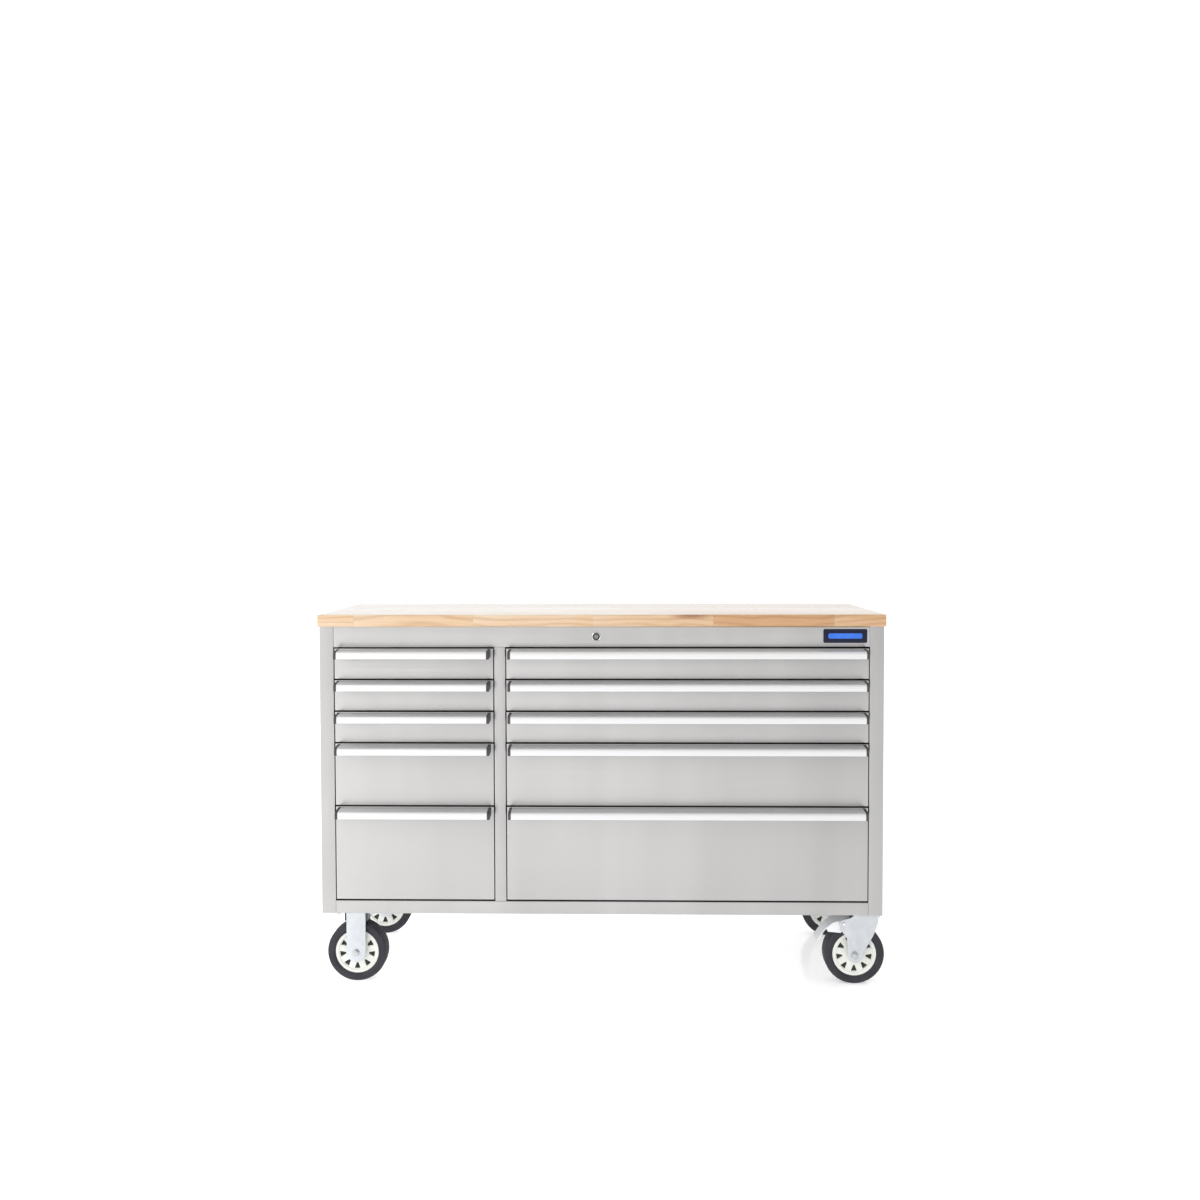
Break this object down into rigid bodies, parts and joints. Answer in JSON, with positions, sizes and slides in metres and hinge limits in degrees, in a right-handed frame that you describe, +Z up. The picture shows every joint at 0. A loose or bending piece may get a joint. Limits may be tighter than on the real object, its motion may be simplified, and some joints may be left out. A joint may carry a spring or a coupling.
{
  "type": "rolling tool chest",
  "caption": "Wide stainless rolling tool chest with a timber worktop, two columns of sliding drawers with full-width pulls, a key lock, fixed and swivelling casters.",
  "frame": {"origin": "on the floor, under the middle of the whole object's box at rest", "axes": "+Z up, +X to the right of someone facing the drawers, +Y to the back; the drawers open along -Y"},
  "size_m": [1.409, 0.5164, 0.93],
  "materials": {
    "stainless": "brushed stainless sheet, folded edges",
    "inner_steel": "plain zinc-plated sheet inside the cabinet",
    "worktop_timber": "laminated hardwood staves, satin lacquer",
    "handle_aluminium": "bright satin anodised extrusion",
    "zinc": "bright zinc-plated pressed steel",
    "rim": "off-white moulded nylon",
    "tyre": "smooth dark rubber",
    "lock_chrome": "polished",
    "badge": "plain dark blue enamel, no marking"
  },
  "bodies": {
    "cabinet": {"side_panel_left": "stainless", "side_panel_right": "stainless", "top_rail": "stainless", "bottom_rail": "stainless", "centre_divider": "stainless", "base_pan": "inner_steel", "top_deck": "inner_steel", "back_panel": "stainless", "worktop": "worktop_timber", "slide_panel_left_outer": "inner_steel", "slide_panel_left_inner": "inner_steel", "slide_panel_right_inner": "inner_steel", "slide_panel_right_outer": "inner_steel", "name_plate": "badge", "lock_housing": "lock_chrome", "fixed_front_bracket": "zinc", "fixed_rear_bracket": "zinc", "fixed_front_axle": "zinc", "fixed_rear_axle": "zinc", "swivel_front_plate": "zinc", "swivel_rear_plate": "zinc"},
    "drawer_left_1": {"drawer_left_1": "stainless", "handle_left_1": "handle_aluminium"},
    "drawer_left_2": {"drawer_left_2": "stainless", "handle_left_2": "handle_aluminium"},
    "drawer_left_3": {"drawer_left_3": "stainless", "handle_left_3": "handle_aluminium"},
    "drawer_left_4": {"drawer_left_4": "stainless", "handle_left_4": "handle_aluminium"},
    "drawer_left_5": {"drawer_left_5": "stainless", "handle_left_5": "handle_aluminium"},
    "drawer_right_1": {"drawer_right_1": "stainless", "handle_right_1": "handle_aluminium"},
    "drawer_right_2": {"drawer_right_2": "stainless", "handle_right_2": "handle_aluminium"},
    "drawer_right_3": {"drawer_right_3": "stainless", "handle_right_3": "handle_aluminium"},
    "drawer_right_4": {"drawer_right_4": "stainless", "handle_right_4": "handle_aluminium"},
    "drawer_right_5": {"drawer_right_5": "stainless", "handle_right_5": "handle_aluminium"},
    "lock_plug": {"lock_plug": "lock_chrome"},
    "lock_bar": {"lock_bar": "inner_steel"},
    "fixed_front_wheel": {"fixed_front_wheel_core": "rim", "fixed_front_tyre": "tyre"},
    "swivel_front_fork": {"swivel_front_fork": "zinc", "swivel_front_axle": "zinc"},
    "swivel_front_wheel": {"swivel_front_wheel_core": "rim", "swivel_front_tyre": "tyre"},
    "swivel_front_pedal": {"swivel_front_pedal": "zinc"},
    "fixed_rear_wheel": {"fixed_rear_wheel_core": "rim", "fixed_rear_tyre": "tyre"},
    "swivel_rear_fork": {"swivel_rear_fork": "zinc", "swivel_rear_axle": "zinc"},
    "swivel_rear_wheel": {"swivel_rear_wheel_core": "rim", "swivel_rear_tyre": "tyre"},
    "swivel_rear_pedal": {"swivel_rear_pedal": "zinc"}
  },
  "joints": [
    {"name": "drawer_left_1_slide", "type": "slide", "parent": "cabinet", "child": "drawer_left_1", "axis": [0, -1, 0], "range_m": [0, 0.32]},
    {"name": "drawer_left_2_slide", "type": "slide", "parent": "cabinet", "child": "drawer_left_2", "axis": [0, -1, 0], "range_m": [0, 0.32]},
    {"name": "drawer_left_3_slide", "type": "slide", "parent": "cabinet", "child": "drawer_left_3", "axis": [0, -1, 0], "range_m": [0, 0.32]},
    {"name": "drawer_left_4_slide", "type": "slide", "parent": "cabinet", "child": "drawer_left_4", "axis": [0, -1, 0], "range_m": [0, 0.32]},
    {"name": "drawer_left_5_slide", "type": "slide", "parent": "cabinet", "child": "drawer_left_5", "axis": [0, -1, 0], "range_m": [0, 0.32]},
    {"name": "drawer_right_1_slide", "type": "slide", "parent": "cabinet", "child": "drawer_right_1", "axis": [0, -1, 0], "range_m": [0, 0.32]},
    {"name": "drawer_right_2_slide", "type": "slide", "parent": "cabinet", "child": "drawer_right_2", "axis": [0, -1, 0], "range_m": [0, 0.32]},
    {"name": "drawer_right_3_slide", "type": "slide", "parent": "cabinet", "child": "drawer_right_3", "axis": [0, -1, 0], "range_m": [0, 0.32]},
    {"name": "drawer_right_4_slide", "type": "slide", "parent": "cabinet", "child": "drawer_right_4", "axis": [0, -1, 0], "range_m": [0, 0.32]},
    {"name": "drawer_right_5_slide", "type": "slide", "parent": "cabinet", "child": "drawer_right_5", "axis": [0, -1, 0], "range_m": [0, 0.32]},
    {"name": "lock_turn", "type": "hinge", "parent": "cabinet", "child": "lock_plug", "pos_m": [-0.0145, -0.21575, 0.8758], "axis": [0, 1, 0], "range_deg": [0, 90]},
    {"name": "lock_bar_lift", "type": "slide", "parent": "cabinet", "child": "lock_bar", "axis": [0, 0, 1], "range_m": [0, 0.008]},
    {"name": "fixed_front_wheel_roll", "type": "hinge", "parent": "cabinet", "child": "fixed_front_wheel", "pos_m": [-0.6215, -0.16075, 0.075], "axis": [0, 1, 0], "continuous": true},
    {"name": "swivel_front_turn", "type": "hinge", "parent": "cabinet", "child": "swivel_front_fork", "pos_m": [0.6555, -0.16075, 0.1725], "axis": [0, 0, 1], "continuous": true},
    {"name": "swivel_front_wheel_roll", "type": "hinge", "parent": "swivel_front_fork", "child": "swivel_front_wheel", "pos_m": [0.6295, -0.16075, 0.075], "axis": [0, 1, 0], "continuous": true},
    {"name": "swivel_front_brake", "type": "hinge", "parent": "swivel_front_fork", "child": "swivel_front_pedal", "pos_m": [0.6005, -0.16075, 0.1545], "axis": [0, -1, 0], "range_deg": [0, 12]},
    {"name": "fixed_rear_wheel_roll", "type": "hinge", "parent": "cabinet", "child": "fixed_rear_wheel", "pos_m": [-0.6215, 0.19455, 0.075], "axis": [0, 1, 0], "continuous": true},
    {"name": "swivel_rear_turn", "type": "hinge", "parent": "cabinet", "child": "swivel_rear_fork", "pos_m": [0.6555, 0.19455, 0.1725], "axis": [0, 0, 1], "continuous": true},
    {"name": "swivel_rear_wheel_roll", "type": "hinge", "parent": "swivel_rear_fork", "child": "swivel_rear_wheel", "pos_m": [0.6295, 0.19455, 0.075], "axis": [0, 1, 0], "continuous": true},
    {"name": "swivel_rear_brake", "type": "hinge", "parent": "swivel_rear_fork", "child": "swivel_rear_pedal", "pos_m": [0.6005, 0.19455, 0.1545], "axis": [0, -1, 0], "range_deg": [0, 12]}
  ],
  "couplings": [
    {"joint": "lock_turn", "follows": "lock_bar_lift", "rad_per_m": 196.34}
  ]
}
